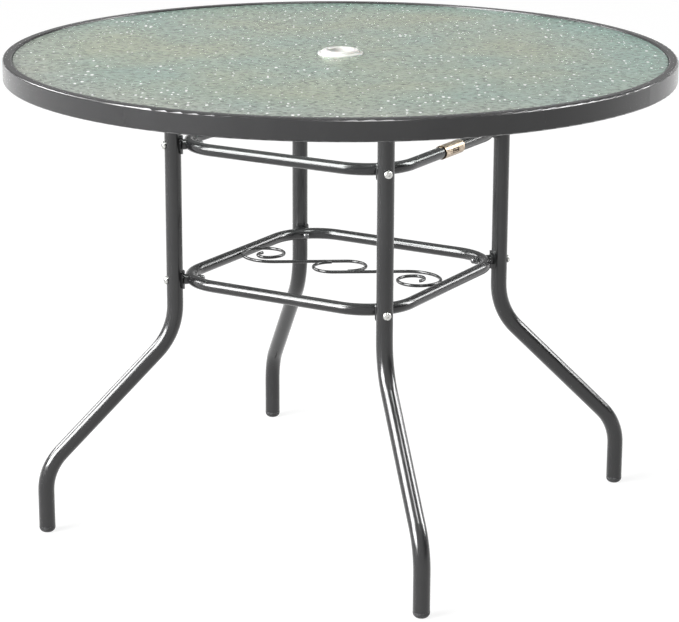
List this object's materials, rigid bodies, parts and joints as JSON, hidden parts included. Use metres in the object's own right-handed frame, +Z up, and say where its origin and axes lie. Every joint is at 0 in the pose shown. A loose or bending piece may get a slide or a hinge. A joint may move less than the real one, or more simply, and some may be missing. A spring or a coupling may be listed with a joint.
{
  "type": "umbrella table",
  "caption": "Round glass patio table in a dark metal rim, with a centre ring for an umbrella pole, bent tube legs, square tube rings and scrollwork.",
  "frame": {"origin": "on the floor, under the middle of the table top", "axes": "+Z up through the umbrella hole; -Y is the front; the legs stand on the diagonals between X and Y, and the ring bars run along X and Y"},
  "size_m": [1.016, 1.016, 0.7345],
  "materials": {
    "glass": "pebbled, tempered, see-through",
    "frame_metal": "charcoal powder coat, satin",
    "white_plastic": "white, smooth",
    "bright_steel": "zinc-plated, bright",
    "dark_steel": "blackened, glossy",
    "cap_plastic": "charcoal, matte",
    "brass": "light brass, polished"
  },
  "bodies": {
    "root": {"foot_cap_back_left": "cap_plastic", "foot_cap_back_right": "cap_plastic", "foot_cap_front_left": "cap_plastic", "foot_cap_front_right": "cap_plastic", "glass_top": "glass", "leg_back_left": "frame_metal", "leg_back_right": "frame_metal", "leg_front_left": "frame_metal", "leg_front_right": "frame_metal", "lower_ring": "frame_metal", "lower_ring_bolts": "bright_steel", "lower_ring_nuts": "dark_steel", "lower_saddle_back_left": "frame_metal", "lower_saddle_back_right": "frame_metal", "lower_saddle_front_left": "frame_metal", "lower_saddle_front_right": "frame_metal", "rim_lug_back_left": "frame_metal", "rim_lug_back_right": "frame_metal", "rim_lug_front_left": "frame_metal", "rim_lug_front_right": "frame_metal", "rim_nuts": "bright_steel", "rim_screws": "bright_steel", "ring_clip": "brass", "scroll_left": "frame_metal", "scroll_right": "frame_metal", "table_rim": "frame_metal", "umbrella_ring": "white_plastic", "upper_ring": "frame_metal", "upper_ring_bolts": "bright_steel", "upper_ring_nuts": "dark_steel", "upper_saddle_back_left": "frame_metal", "upper_saddle_back_right": "frame_metal", "upper_saddle_front_left": "frame_metal", "upper_saddle_front_right": "frame_metal"}
  },
  "joints": []
}
